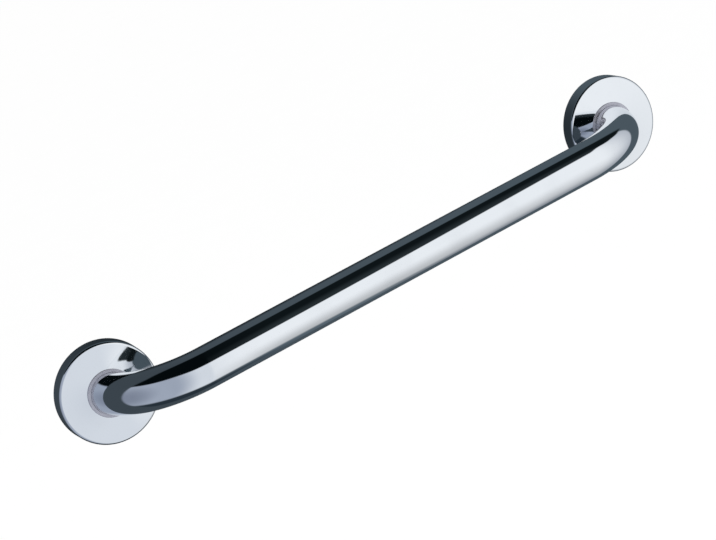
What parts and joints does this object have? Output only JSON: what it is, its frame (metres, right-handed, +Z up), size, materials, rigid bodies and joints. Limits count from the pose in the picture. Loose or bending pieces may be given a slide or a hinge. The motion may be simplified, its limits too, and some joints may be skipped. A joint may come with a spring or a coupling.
{
  "type": "grab bar",
  "caption": "Wall-mounted grab bar: a chromed round tube bent back to the wall at both ends, with round push-on cover roses over its screw plates.",
  "frame": {"origin": "centre of the left wall plate's screw circle, on the wall", "axes": "+X along the bar to the right-hand fixing, +Y into the wall, +Z up"},
  "size_m": [0.555, 0.082, 0.08],
  "materials": {
    "tube_chrome": "polished chrome plate",
    "cover_chrome": "polished chrome plate",
    "plate_steel": "rolled sheet, unpolished",
    "ring_plastic": "soft moulded plastic, pale mauve-grey"
  },
  "bodies": {
    "root": {"grab_tube": "tube_chrome", "left_wall_plate": "plate_steel", "left_cover_rose": "cover_chrome", "left_cover_ring": "ring_plastic", "right_wall_plate": "plate_steel", "right_cover_rose": "cover_chrome", "right_cover_ring": "ring_plastic"}
  },
  "joints": []
}
